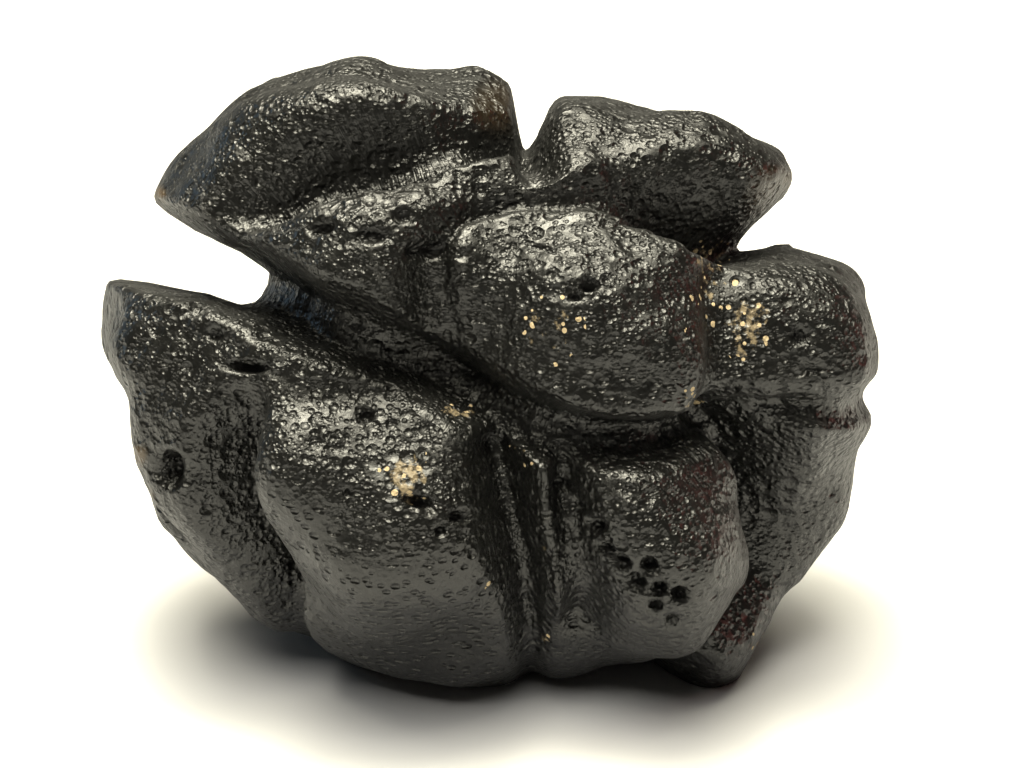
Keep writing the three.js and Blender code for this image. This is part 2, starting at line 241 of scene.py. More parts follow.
def rounded(path):
    """One round of corner cutting: each step keeps its middle part, so corners turn into bends."""
    path = np.array(path, dtype=float)
    step = path[1:] - path[:-1]
    kept = [path[:-1] + CORNER_CUT * step, path[:-1] + (1 - CORNER_CUT) * step]
    cut = np.stack(kept, axis=1).reshape(-1, path.shape[1])
    return np.concatenate([path[:1], cut, path[-1:]])


def furrow_paths():
    """Each furrow as its sharpness, its bent path of [direction, half width, depth], and the cone it lies
    in: the path's mean direction, and the cosine of its spread plus its reach."""
    furrows = []
    for sharpness, corners in FURROWS.values():
        corners = np.array(corners, dtype=float)
        places = direction_at(corners[:, 0], corners[:, 1], corners[:, 2])
        path = rounded(np.concatenate([places, corners[:, 3:]], axis=1))
        middle = unit(path[:, :3].sum(axis=0))
        spread = np.arccos(np.minimum(unit(path[:, :3]) @ middle, 1)).max()
        margin = REACH * path[:, 3].max() / HALF_DEPTH
        furrows.append((sharpness * STEEPER, path, middle, math.cos(min(spread + margin, math.pi))))
    return furrows


FURROW_PATHS = furrow_paths()


def nearest_on_path(d, path, radius):
    """How far each direction is from a furrow's path, in half widths, with the depth and the distance run
    there. The path is straight between its points, so the nearest place is a perpendicular's foot."""
    best = np.full(len(d), np.inf)
    depth = np.zeros(len(d))
    run = np.zeros(len(d))
    start = 0.0
    for a, b in zip(path[:-1], path[1:]):
        ab = b[:3] - a[:3]
        length = math.sqrt(ab @ ab)
        t = np.clip((d - a[:3]) @ ab / length**2, 0, 1)
        gap = np.linalg.norm(d - a[:3] - t[:, None] * ab, axis=1)
        away = gap * radius / (a[3] + t * (b[3] - a[3]))
        nearer = away < best
        best = np.where(nearer, away, best)
        depth = np.where(nearer, a[4] + t * (b[4] - a[4]), depth)
        run = np.where(nearer, start + t * length, run)
        start += length
    return best, depth, run


def furrow_cut(d, radius):
    """The depth of all furrows together. Each is a trough with a round floor, its depth times 2 to the
    power of minus the distance to its sharpness, and a broad bell for the sag of its banks."""
    total = np.zeros(len(d))
    for sharpness, path, middle, nearest in FURROW_PATHS:
        near = np.nonzero(d @ middle > nearest)[0]
        best, depth, _ = nearest_on_path(d[near], path, radius[near])
        sag = np.minimum(SAG_SHARE * depth, SAG_LIMIT)
        cut = (depth - sag) * np.exp2(-(best**sharpness)) + sag * np.exp(-((best / SAG_BREADTH) ** 2))
        total[near] += cut**JOIN_POWER
    return total ** (1 / JOIN_POWER)


def stone_radius(d):
    """The stone's radius in each direction: the block, plus its swells and waves, less its furrows. A wave
    is its height times the sine of its start plus the block's place along the wave's vector."""
    block = block_radius(d)
    radius = block + swell_height(d) - furrow_cut(d, block)
    for wave, start, height in WAVES:
        radius += height * np.sin(start + block * (d @ np.array(wave)))
    return radius


def on_surface(points):
    """Each point moved along its own direction on to the stone's surface."""
    d = unit(points)
    return d * stone_radius(d)[:, None]


# The grid that the stone is made on


def cube_grid(cells):
    """The cube's six faces as squares: for each face a square array of point numbers, with shared edges,
    and each point's direction. Columns run along a and rows along b, so that a cross b points out."""
    steps = np.arange(cells + 1)
    u, v = np.meshgrid(steps, steps, indexing="ij")
    low, high = np.zeros_like(u), np.full_like(u, cells)
    faces = [(high, u, v), (low, v, u), (v, high, u), (u, low, v), (u, v, high), (v, u, low)]
    places = np.stack([np.stack(face, axis=-1) for face in faces])
    code = (places[..., 0] * (cells + 1) + places[..., 1]) * (cells + 1) + places[..., 2]
    _, first, index = np.unique(code.ravel(), return_index=True, return_inverse=True)
    corner = places.reshape(-1, 3)[first]
    warped = np.tan((corner / cells * 2 - 1) * math.pi / 4)
    return index.reshape(code.shape), unit(warped)


def neighbour_pairs(index):
    """The two ends of every grid line between neighbouring points, once each."""
    rows = np.stack([index[:, :-1, :].ravel(), index[:, 1:, :].ravel()], axis=1)
    columns = np.stack([index[:, :, :-1].ravel(), index[:, :, 1:].ravel()], axis=1)
    pairs = np.sort(np.concatenate([rows, columns]), axis=1)
    return np.unique(pairs, axis=0)


def spread_evenly(points, index, rounds):
    """Points creep towards the middle of their neighbours and back to the surface, so that steep walls get
    as many points as smooth faces do."""
    a, b = neighbour_pairs(index).T
    for _ in range(rounds):
        total = np.stack([
            np.bincount(a, points[b, k], len(points)) + np.bincount(b, points[a, k], len(points))
            for k in range(3)
        ], axis=1)
        points = on_surface(total)
    return points


def halve_squares(points, index, finer_index, finer_count):
    """The same surface on a grid with twice the lines: each new point is the middle of those beside it."""
    coarse = points[index]
    lines = np.zeros((6, coarse.shape[1], 2 * coarse.shape[2] - 1, 3))
    lines[:, :, ::2] = coarse
    lines[:, :, 1::2] = (coarse[:, :, 1:] + coarse[:, :, :-1]) / 2
    fine = np.zeros((6, 2 * coarse.shape[1] - 1, lines.shape[2], 3))
    fine[:, ::2] = lines
    fine[:, 1::2] = (lines[:, 1:] + lines[:, :-1]) / 2
    finer = np.zeros((finer_count, 3))
    finer[finer_index.ravel()] = fine.reshape(-1, 3)
    return finer


def stone_points():
    """The stone's main form: point places and the grid that joins them."""
    cells = COARSE_CELLS
    index, points = cube_grid(cells)
    for rounds in GRID_ROUNDS:
        if cells > COARSE_CELLS:
            finer_index, directions = cube_grid(cells)
            points = halve_squares(points, index, finer_index, len(directions))
            index = finer_index
        points = spread_evenly(on_surface(points), index, rounds)
        cells *= 2
    return points, index


def normals(points, index):
    """The sum of the crossed diagonals of the squares round each point, made one long."""
    grid = points[index]
    across = grid[:, 1:, 1:] - grid[:, :-1, :-1]
    other = grid[:, :-1, 1:] - grid[:, 1:, :-1]
    facing = np.cross(across, other).reshape(-1, 3)
    total = np.zeros_like(points)
    for corner in (index[:, :-1, :-1], index[:, 1:, :-1], index[:, 1:, 1:], index[:, :-1, 1:]):
        for k in range(3):
            total[:, k] += np.bincount(corner.ravel(), facing[:, k], len(points))
    return unit(total)


# Relief: lumps, scoops, pits, the shelf's bank and the notch's end

# How a cell's coordinates and a seed are mixed into a number: odd factors, then rounds of [shift, factor].
CELL_FACTORS = (0x8DA6B343, 0xD8163841, 0xCB1AB31F)
SEED_FACTOR = 0x9E3779B1
MIXING = ((16, 0x7FEB352D), (15, 0x846CA68B))
LAST_SHIFT = 16

LUMPS = [[0.2, 5.2, 11], [0.12, 2.4, 12], [0.05, 1.2, 13]]  # [height, size, seed]

# Scoops: [depth, pitch, reach as a share of the pitch, seed]. The broad ones lie in patches.
BROAD_SCOOPS = [0.34, 3.3, 0.5, 40]
FINE_SCOOPS = [0.2, 1.7, 0.5, 50]
SMALLEST_SHARE = 0.3  # of the reach and the depth, in the smallest scoop
WANDER = [0.5, 3.0, 20]  # how far the scoops' lattice is pushed about, over what size, and the seed
PATCH_SIZE = 8.0
PATCH_SEED = 30
PATCH_CONTRAST = 1.3
SHELTERED_DEPTH = 0.35  # the scoops' depth on faces that look down, as a share


def scatter(cell, seed):
    """One number from 0 to 1 for each whole-numbered cell: its coordinates mixed as 32-bit words."""
    word = cell.astype(np.int64).astype(np.uint32)
    mixed = np.full(word.shape[:-1], seed * SEED_FACTOR % 2**32, dtype=np.uint32)
    for k, factor in enumerate(CELL_FACTORS):
        mixed ^= word[..., k] * np.uint32(factor)
    for shift, factor in MIXING:
        mixed = (mixed ^ (mixed >> np.uint32(shift))) * np.uint32(factor)
    return (mixed ^ (mixed >> np.uint32(LAST_SHIFT))) / 2.0**32


def lumps(p, size, seed):
    """Smooth unevenness from -1 to 1: random numbers on a lattice of the given size, blended between
    corners by 6 t to the fifth, less 15 t to the fourth, plus 10 t cubed."""
    q = p / size
    cell = np.floor(q)
    t = q - cell
    t = t**3 * (t * (t * 6 - 15) + 10)
    total = np.zeros(len(p))
    for corner in np.ndindex(2, 2, 2):
        share = np.prod(np.where(corner, t, 1 - t), axis=1)
        total += share * scatter(cell + corner, seed)
    return total * 2 - 1


def dimples(p, pitch, reach, seed):
    """Round scoops, one in each cell of a lattice: depth 1 less q squared, where q is the distance from the
    scoop's middle over its radius, a share of reach that differs from cell to cell. The deepest one counts,
    so neighbours meet in a sharp rim."""
    q = p / pitch
    cell = np.floor(q)
    deepest = np.zeros(len(p))
    for offset in np.ndindex(3, 3, 3):
        near = cell + np.array(offset) - 1
        middle = near + np.stack([scatter(near, seed + k) for k in range(3)], axis=1)
        share = SMALLEST_SHARE + (1 - SMALLEST_SHARE) * scatter(near, seed + 3)
        square = ((q - middle) ** 2).sum(axis=1) / (reach * share) ** 2
        deepest = np.maximum(deepest, share * np.maximum(1 - square, 0))
    return deepest


def seen_place(p):
    """Where the viewer sees each point, in mm on the plane through the stone's middle: its distance from
    the camera's axis, times the camera's distance from that plane over its distance from the point."""
    scale = VIEW_DISTANCE / (VIEW_DISTANCE - p[:, 2])
    x = VIEW_AXIS[0] + (p[:, 0] - VIEW_AXIS[0]) * scale
    y = VIEW_AXIS[1] + (p[:, 1] - VIEW_AXIS[1]) * scale
    return x, y


def in_view(facing):
    """From 1 on faces towards the viewer to 0 where they turn away: four times the normal's z."""
    return np.clip(facing * 4, 0, 1)


def upturned(out):
    """How far each face looks up, from 0 to 1: twice the normal's upward part."""
    up = out[:, 1] * math.cos(VIEW_DOWN) + out[:, 2] * math.sin(VIEW_DOWN)
    return np.clip(up * 2, 0, 1)


# Pits on the face that the viewer sees: [x, y as seen, half length, half height, roll in degrees, depth].
PITS = {
    "row": [
        [8.4, -12.0, 0.9, 0.75, 0, 1.6], [9.2, -13.8, 0.9, 0.6, -35, 1.2],
        [10.4, -14.9, 1.2, 0.7, -40, 1.4], [12.8, -15.3, 0.95, 0.75, 0, 1.5],
        [11.7, -16.6, 1.2, 0.75, -35, 1.5], [13.6, -17.2, 0.9, 0.75, 0, 1.5],
        [13.3, -18.6, 0.75, 0.65, 0, 1.2], [15.2, -17.6, 0.95, 0.8, 0, 1.5],
        [14.6, -19.8, 0.7, 0.65, 0, 1.1], [5.6, -8.9, 0.7, 0.5, -40, 0.9], [7.0, -10.5, 0.8, 0.5, -45, 0.9],
    ],
    "big_lobe": [
        [-5.8, -10.1, 1.6, 0.65, -14, 1.7], [-2.4, -11.3, 1.1, 0.6, -8, 1.5],
        [-4.0, -12.4, 0.6, 0.5, 0, 0.9], [-11.4, -9.4, 0.6, 0.5, 0, 0.6], [-9.8, -3.2, 0.8, 0.65, 0, 0.9],
    ],
    "ledge": [
        [-13.2, 11.6, 1.3, 0.65, 8, 1.1], [-9.4, 11.0, 1.7, 0.75, 5, 1.0], [-6.2, 9.8, 1.0, 0.7, 0, 0.8],
        [-4.6, 10.0, 1.6, 0.9, 10, 1.0], [-7.0, 12.6, 1.1, 0.7, 0, 0.7],
    ],
    "middle_lobe": [
        [8.0, 7.2, 1.0, 0.55, -5, 1.3], [6.8, 6.3, 0.7, 0.45, 0, 0.9], [4.0, 10.2, 1.6, 0.4, -15, 0.5],
    ],
    "right_lobe": [[24.8, 3.2, 1.0, 1.0, 0, 1.0], [25.6, 0.6, 1.2, 0.5, -30, 0.5]],
    "left_lobe": [
        [-23.6, 5.2, 0.9, 0.8, 0, 1.0], [-22.0, 3.2, 0.8, 0.6, 0, 0.7], [-19.6, 0.7, 2.1, 0.6, -6, 1.5],
        [-25.6, -7.6, 1.4, 1.8, 15, 2.3],
    ],
}


def named_pits(p, facing):
    """The depth of the pits in the table, on the faces that the viewer sees: a pit's depth times the power
    1.5 of 1 less q squared, where q runs from 0 in its middle to 1 at its rim."""
    x, y = seen_place(p)
    total = np.zeros(len(p))
    for group in PITS.values():
        for px, py, length, height, roll, depth in group:
            c, s = math.cos(math.radians(roll)), math.sin(math.radians(roll))
            u = (c * (x - px) + s * (y - py)) / length
            v = (c * (y - py) - s * (x - px)) / height
            square = u**2 + v**2
            total = np.maximum(total, depth * np.maximum(1 - square, 0) ** 1.5)
    return total * in_view(facing)


SHELF_EDGE = [[-16.4, 13.2], [-12.0, 14.8], [-7.2, 16.2], [-3.2, 17.6], [-1.0, 18.2]]  # [x, y] as seen
SHELF_RAMP = 1.4  # how broad the rise below that edge is
SHELF_RISE = 0.55  # how high it is
SHELF_FALL = 8.0  # how far it takes to sink back
SHELF_FADES = (3, 2)  # how far it takes to fade out at the left end and at the right


def shelf_bank(p, facing):
    """The shelf's bank: below its edge the skin rises as 3 t squared less 2 t cubed, and sinks back as a
    bell."""
    x, y = seen_place(p)
    line = np.array(SHELF_EDGE)
    below = np.interp(x, line[:, 0], line[:, 1]) - y
    t = np.clip(below / SHELF_RAMP, 0, 1)
    back = np.exp(-((np.maximum(below - SHELF_RAMP, 0) / SHELF_FALL) ** 2))
    left = np.clip((x - line[0, 0]) / SHELF_FADES[0], 0, 1)
    right = np.clip((line[-1, 0] - x) / SHELF_FADES[1], 0, 1)
    return SHELF_RISE * t**2 * (3 - 2 * t) * back * (left * right) * in_view(facing)


NOTCH_END = (-19.7, 7.5)  # the middle of the left notch's round end, as seen
NOTCH_RADIUS = 3.2
NOTCH_DEPTH = 0.75


def notch_rounding(p):
    """How far the left notch's end is hollowed out, all the way through: its depth times the power 1.5 of 1
    less q squared, where q is the distance from its middle, as seen, over its radius."""
    x, y = seen_place(p)
    square = ((x - NOTCH_END[0]) ** 2 + (y - NOTCH_END[1]) ** 2) / NOTCH_RADIUS**2
    return NOTCH_DEPTH * np.maximum(1 - square, 0) ** 1.5


def relief(p, out):
    """How far the skin stands out from the main form: slow lumps and the shelf's bank, less scoops of two
    sizes, the notch's end and the named pits."""
    height = sum(rise * lumps(p, size, seed) for rise, size, seed in LUMPS)
    push, size, seed = WANDER
    warped = p + push * np.stack([lumps(p, size, seed + k) for k in range(3)], axis=1)
    exposed = SHELTERED_DEPTH + (1 - SHELTERED_DEPTH) * upturned(out)
    patchy = np.clip(0.5 + PATCH_CONTRAST * lumps(p, PATCH_SIZE, PATCH_SEED), 0, 1)
    depth, *layer = BROAD_SCOOPS
    height -= depth * exposed * patchy * dimples(warped, *layer)
    depth, *layer = FINE_SCOOPS
    height -= depth * exposed * dimples(warped, *layer)
    return height + shelf_bank(p, out[:, 2]) - notch_rounding(p) - named_pits(p, out[:, 2])


# Flow lines, soil, and the painted glow at the thinnest edges and painted reflections

# How plainly the glass's flow lines show in a furrow, from 0 to 1: strokes across it, or streaks along it.
STROKES = {"main": 0.6, "crest": 1.0, "top_notch": 1.0, "collar": 0.7}
STREAKS = {
    "near_groove_right": 0.9, "near_groove_left": 0.9, "left_groove": 0.9, "outer_left_groove": 0.7,
    "arch": 0.9, "right_band": 0.5,
}
PLAIN_STROKES = 0.15  # in a furrow that isn't named
STROKE_GRAIN = (0.32, 0.5)  # a stroke's length along the furrow in mm, and its changes in a half width
STREAK_GRAIN = (2.5, 5)
RUN_LENGTH = 25  # the mm on the stone for a run of 1 along a path
LINES_APART = 40  # how far the lines of furrows of different sharpness are set apart
FULL_DEPTH = 4  # the depth from which a furrow shows its lines fully
FLOW_REACH = 1.7  # in half widths, as are the next two
TROUGH_REACH = 1.2
SLIT_REACH = 0.4
SLIT_DEPTH = 0.9


def flow_lines(d):
    """For each direction: two numbers that run fast across the flow lines and slowly along them, how plain
    they are, how deep in a furrow's trough it is, and how near the slit along the floor of a streaked one,
    each from 0 to 1. The furrow with the plainest lines counts. Lines and troughs fade as 2 to the power of
    minus the fourth power of the distance over their reach, and slits as 2 to the power of minus its
    square."""
    radius = block_radius(d)
    lines = np.zeros((len(d), 5))
    for name, (sharpness, path, middle, nearest) in zip(FURROWS, FURROW_PATHS):
        near = np.nonzero(d @ middle > nearest)[0]
        best, depth, run = nearest_on_path(d[near], path, radius[near])
        deep = np.clip(depth / FULL_DEPTH, 0, 1)
        streaks = name in STREAKS
        length, changes = STREAK_GRAIN if streaks else STROKE_GRAIN
        plain = STREAKS[name] if streaks else STROKES.get(name, PLAIN_STROKES)
        plain = plain * deep * np.exp2(-((best / FLOW_REACH) ** 4))
        slit = deep * np.exp2(-((best / SLIT_REACH) ** 2)) if streaks else 0
        lines[near, 4] = np.maximum(lines[near, 4], slit)
        along = run * RUN_LENGTH / length + LINES_APART * sharpness
        across = best * changes
        stronger = plain > lines[near, 2]
        lines[near[stronger], :3] = np.stack([along, across, plain], axis=1)[stronger]
        trough = deep * np.exp2(-((best / TROUGH_REACH) ** 4))
        lines[near, 3] = np.maximum(lines[near, 3], trough)
    return lines


# Soil left in hollows on the face that the viewer sees: [x, y as seen, radius, strength].
SOIL = [
    [20.6, 4.4, 1.3, 1.0], [21.4, 4.9, 0.9, 0.9], [20.4, 2.4, 1.0, 0.9], [17.8, 7.4, 1.3, 0.8],
    [16.2, -2.0, 0.7, 0.8], [2.8, -6.2, 0.8, 0.6], [-6.6, -8.0, 1.2, 1.0], [-6.4, -9.2, 0.9, 0.8],
    [17.6, 9.2, 1.0, 0.8], [4.8, 3.6, 1.8, 0.7], [16.8, 3.6, 0.8, 0.5], [0.0, -16.8, 0.4, 0.8],
    [4.2, -13.8, 0.3, 0.8], [4.4, -21.2, 0.4, 0.8], [21.2, -21.2, 0.6, 0.7], [-3.2, -3.0, 0.5, 1.0],
    [-2.2, -3.3, 0.4, 1.0], [-1.5, -3.2, 0.4, 1.0],
]

# Painted light in the glass's colour: a brown tint that stands in for light shining through the thinnest
# edges: [x, y as seen, radius, strength].
PAINTED_GLOW_AND_REFLECTION = [
    [-26.9, 14.4, 0.5, 0.4], [-28.4, -6.5, 0.5, 0.3], [-27.8, -9.8, 0.5, 0.3], [24.2, 15.6, 0.5, 0.3],
    # The last two patches are painted reflections of brownish-red surroundings, on the crest's end wall and
    # in a hollow on the upper right, not edges that light shines through.
    [0.6, 21.4, 1.3, 0.06], [23.0, 14.0, 1.5, 0.12],
]

# Faces that are as pitted as the stone's top, though they face down: [x, y as seen, radius, strength].
PITTED = [
    [26.0, -10.0, 4.5, 0.8], [19.6, -21.0, 2.2, 0.8], [15.6, 14.0, 4.0, 0.7], [-26.0, -6.0, 3.6, 0.6],
    [29.8, 4.4, 3.0, 0.7], [22.0, -16.0, 2.5, 0.9], [-21.5, -14.0, 2.5, 0.6],
    [14.0, -20.0, 3.5, 0.5], [8.0, -22.0, 2.5, 0.4],
]


def patches(p, facing, table):
    """A table's patches on the face that the viewer sees: strength times 2 less q, but not more than the
    strength, where q is the distance from a patch's middle over its radius."""
    x, y = seen_place(p)
    strongest = np.zeros(len(p))
    for px, py, radius, strength in table:
        q = np.hypot(x - px, y - py) / radius
        strongest = np.maximum(strongest, strength * np.clip(2 - q, 0, 1))
    return strongest * in_view(facing)


# From the viewer's frame to the row frame


def stand_up(p):
    """From the viewer's frame in mm to the row frame in metres: tipped back, set down and centred."""
    c, s = math.cos(VIEW_DOWN), math.sin(VIEW_DOWN)
    x = p[..., 0] - STAND_MIDDLE[0]
    y = p[..., 1] * s - p[..., 2] * c - STAND_MIDDLE[1]
    z = p[..., 1] * c + p[..., 2] * s + FLOOR_DROP
    return np.stack([x, y, z], axis=-1) * MM


def grid_mesh(name, points, index):
    """A mesh of the grid's squares, shaded smooth."""
    squares = np.stack(
        [index[:, :-1, :-1], index[:, 1:, :-1], index[:, 1:, 1:], index[:, :-1, 1:]], axis=-1
    ).reshape(-1, 4)
    mesh = bpy.data.meshes.new(name)
    mesh.vertices.add(len(points))
    mesh.vertices.foreach_set("co", points.astype(np.float32).ravel())
    mesh.loops.add(squares.size)
    mesh.loops.foreach_set("vertex_index", squares.astype(np.int32).ravel())
    mesh.polygons.add(len(squares))
    mesh.polygons.foreach_set("loop_start", np.arange(0, squares.size, 4, dtype=np.int32))
    mesh.polygons.foreach_set("use_smooth", np.ones(len(squares), dtype=bool))
    mesh.update(calc_edges=True)
    mesh.validate()
    return mesh


# The glass and the soil on it, in mm

# Layers of pits: [pitch, radius, depth]. The rough ones are deepest where the skin is pitted, and the
# smooth ones, which lie in a turned and stretched lattice, where it isn't.
ROUGH_PITS = [[1.4, 0.85, 0.22], [0.72, 0.46, 0.17], [0.42, 0.28, 0.1]]
SMOOTH_PITS = [[0.8, 0.45, 0.34], [1.5, 0.55, 0.4]]
LEAST_ROUGH = 0.3  # the share of the rough layers' depth where the skin isn't pitted
LATTICE_TURN = (0, 0.5, 0)
LATTICE_STRETCH = (0.9, 0.9, 1.15)
PEEL_SIZE = 0.5  # the slight unevenness between the pits
PEEL_HEIGHT = 0.08
FLOW_HEIGHT = 0.16

GRAIN_PITCH = 0.58
GRAIN_SHARE = 0.42  # how many cells hold a grain where the soil is thickest
FILM_SIZE = 0.8
FILM_CONTRAST = 4
FILM_LIMIT = 0.45

GLASS_IOR = 1.5
GLASS_COLOUR = (0.003, 0.003, 0.0026, 1)
# Painted light: the brown of the painted glow at the thinnest edges and of the painted reflections in two
# patches.
PAINTED_GLOW_AND_REFLECTION_COLOUR = (0.15, 0.085, 0.02, 1)
SOIL_COLOUR = (0.4, 0.31, 0.18, 1)
GLASS_ROUGHNESS = 0.25
PATCH_ROUGHNESS = 0.16  # what its patches add at most, as soil and a grazing view do below
PATCH_BREADTH = 4
SOIL_ROUGHNESS = 0.5
GRAZING_ROUGHNESS = 0.65


def add(tree, kind, values=None, **settings):
    """A shader node with its settings and the values of its unlinked sockets."""
    node = tree.nodes.new(kind)
    for name, value in settings.items():
        setattr(node, name, value)
    for socket, value in (values or {}).items():
        node.inputs[socket].default_value = value
    return node


def calculate(tree, operation, *terms):
    """A Math node's result. Each term is a number or another node's output."""
    node = add(tree, "ShaderNodeMath", operation=operation)
    for socket, term in zip(node.inputs, terms):
        if isinstance(term, (int, float)):
            socket.default_value = term
        else:
            tree.links.new(term, socket)
    return node.outputs[0]


def add_up(tree, terms):
    """The sum of several nodes' outputs."""
    total = terms[0]
    for term in terms[1:]:
        total = calculate(tree, "ADD", total, term)
    return total


def noise(tree, vector, size, detail=2.0, roughness=0.5):
    """Smooth noise from 0 to 1, whose lumps are about the given size in mm."""
    values = {"Scale": 1 / (size * MM), "Detail": detail, "Roughness": roughness}
    node = add(tree, "ShaderNodeTexNoise", values)
    tree.links.new(vector, node.inputs["Vector"])
    return node.outputs[0]


MIX_SHARE, MIX_FIRST, MIX_SECOND, MIX_RESULT = 0, 6, 7, 2  # the Mix node's sockets for colours


def mix(tree, share, first, second):
    """The colour at a share of the way between two, each of them a colour or a node's output."""
    node = add(tree, "ShaderNodeMix", data_type="RGBA")
    tree.links.new(share, node.inputs[MIX_SHARE])
    for socket, colour in ((MIX_FIRST, first), (MIX_SECOND, second)):
        if isinstance(colour, tuple):
            node.inputs[socket].default_value = colour
        else:
            tree.links.new(colour, node.inputs[socket])
    return node.outputs[MIX_RESULT]


def pits_group():
    """Round hollows, one in each cell of a scattered lattice, as a height in mm: minus the depth times 1
    less q squared, where q is the distance from the middle over the radius. Each pit has a share of the
    given radius and depth, from 0.3 to 1."""
    tree = bpy.data.node_groups.new("glass_pits", "ShaderNodeTree")
    tree.interface.new_socket("Vector", in_out="INPUT", socket_type="NodeSocketVector")
    for name in ("Pitch", "Radius", "Depth"):
        tree.interface.new_socket(name, in_out="INPUT", socket_type="NodeSocketFloat")
    tree.interface.new_socket("Height", in_out="OUTPUT", socket_type="NodeSocketFloat")
    given = add(tree, "NodeGroupInput").outputs
    cells = add(tree, "ShaderNodeTexVoronoi")
    tree.links.new(given["Vector"], cells.inputs["Vector"])
    tree.links.new(calculate(tree, "DIVIDE", 1 / MM, given["Pitch"]), cells.inputs["Scale"])
    number = add(tree, "ShaderNodeSeparateColor")
    tree.links.new(cells.outputs["Color"], number.inputs[0])
    share = calculate(tree, "MULTIPLY_ADD", number.outputs[0], 0.7, 0.3)
    reach = calculate(tree, "MULTIPLY", share, given["Radius"])
    away = calculate(tree, "MULTIPLY", cells.outputs["Distance"], given["Pitch"])
    q = calculate(tree, "DIVIDE", away, reach)
    bowl = calculate(tree, "MAXIMUM", calculate(tree, "SUBTRACT", 1, calculate(tree, "MULTIPLY", q, q)), 0)
    deep = calculate(tree, "MULTIPLY", calculate(tree, "MULTIPLY", bowl, share), given["Depth"])
    result = add(tree, "NodeGroupOutput")
    tree.links.new(calculate(tree, "MULTIPLY", deep, -1), result.inputs["Height"])
    return tree


def pits(tree, group, vector, pitch, radius, depth):
    """A layer of pits placed in a material: its height in mm."""
    node = add(tree, "ShaderNodeGroup", node_tree=group)
    tree.links.new(vector, node.inputs["Vector"])
    for socket, value in (("Pitch", pitch), ("Radius", radius), ("Depth", depth)):
        node.inputs[socket].default_value = value
    return node.outputs["Height"]


def skin_height(tree, place, mask):
    """The skin's finest relief in mm: the layers of pits, the peel between them and the flow lines."""
    group = pits_group()
    lattice = add(tree, "ShaderNodeMapping", {"Rotation": LATTICE_TURN, "Scale": LATTICE_STRETCH})
    tree.links.new(place, lattice.inputs["Vector"])
    stretched = lattice.outputs[0]
    lines_at = add(tree, "ShaderNodeAttribute", attribute_name="flow_place").outputs["Vector"]
    lines = add(tree, "ShaderNodeTexNoise", {"Scale": 1.0, "Detail": 1.0})
    tree.links.new(lines_at, lines.inputs["Vector"])
    rugged = calculate(tree, "MULTIPLY_ADD", mask["pitted"], 1 - LEAST_ROUGH, LEAST_ROUGH)
    smooth = calculate(tree, "SUBTRACT", 1, mask["pitted"])
    rough = add_up(tree, [pits(tree, group, place, *layer) for layer in ROUGH_PITS])
    heights = [
        calculate(tree, "MULTIPLY", rough, rugged),
        calculate(tree, "MULTIPLY", noise(tree, place, PEEL_SIZE, 3.0, 0.6), PEEL_HEIGHT),
    ]
    for layer in SMOOTH_PITS:
        heights.append(calculate(tree, "MULTIPLY", pits(tree, group, stretched, *layer), smooth))
    flow = calculate(tree, "MULTIPLY", lines.outputs[0], FLOW_HEIGHT)
    heights.append(calculate(tree, "MULTIPLY", flow, mask["flow"]))
    return add_up(tree, heights)


def soil_cover(tree, place, soil):
    """How much soil lies at each place, from 0 to 1: round grains of 0.2 to 0.5 of a cell in some of the
    cells, or a film where noise is above what stays bare, 0.92 less 0.46 times the mask."""
    grains = add(tree, "ShaderNodeTexVoronoi", {"Scale": 1 / (GRAIN_PITCH * MM)})
    tree.links.new(place, grains.inputs["Vector"])
    number = add(tree, "ShaderNodeSeparateColor")
    tree.links.new(grains.outputs["Color"], number.inputs[0])
    share = calculate(tree, "MULTIPLY", soil, GRAIN_SHARE)
    chosen = calculate(tree, "LESS_THAN", number.outputs[0], share)
    size = calculate(tree, "MULTIPLY_ADD", number.outputs[1], 0.3, 0.2)
    inside = calculate(tree, "LESS_THAN", grains.outputs["Distance"], size)
    bare = calculate(tree, "MULTIPLY_ADD", soil, -0.46, 0.92)
    smear = noise(tree, place, FILM_SIZE, 4.0, 0.65)
    film = calculate(tree, "MULTIPLY", calculate(tree, "SUBTRACT", smear, bare), FILM_CONTRAST)
    film = calculate(tree, "MINIMUM", calculate(tree, "MAXIMUM", film, 0), FILM_LIMIT)
    return calculate(tree, "MAXIMUM", calculate(tree, "MULTIPLY", chosen, inside), film)


def glass_roughness(tree, place, soil):
    """Patchy, dull under soil, and duller the further past half way a face turns from the eye."""
    edge = add(tree, "ShaderNodeLayerWeight", {"Blend": 0.5}).outputs["Facing"]
    grazing = calculate(tree, "MAXIMUM", calculate(tree, "SUBTRACT", edge, 0.5), 0)
    patchy = noise(tree, place, PATCH_BREADTH)
    rough = calculate(tree, "MULTIPLY_ADD", patchy, PATCH_ROUGHNESS, GLASS_ROUGHNESS)
    rough = calculate(tree, "MULTIPLY_ADD", soil, SOIL_ROUGHNESS, rough)
    return calculate(tree, "MULTIPLY_ADD", grazing, GRAZING_ROUGHNESS, rough)


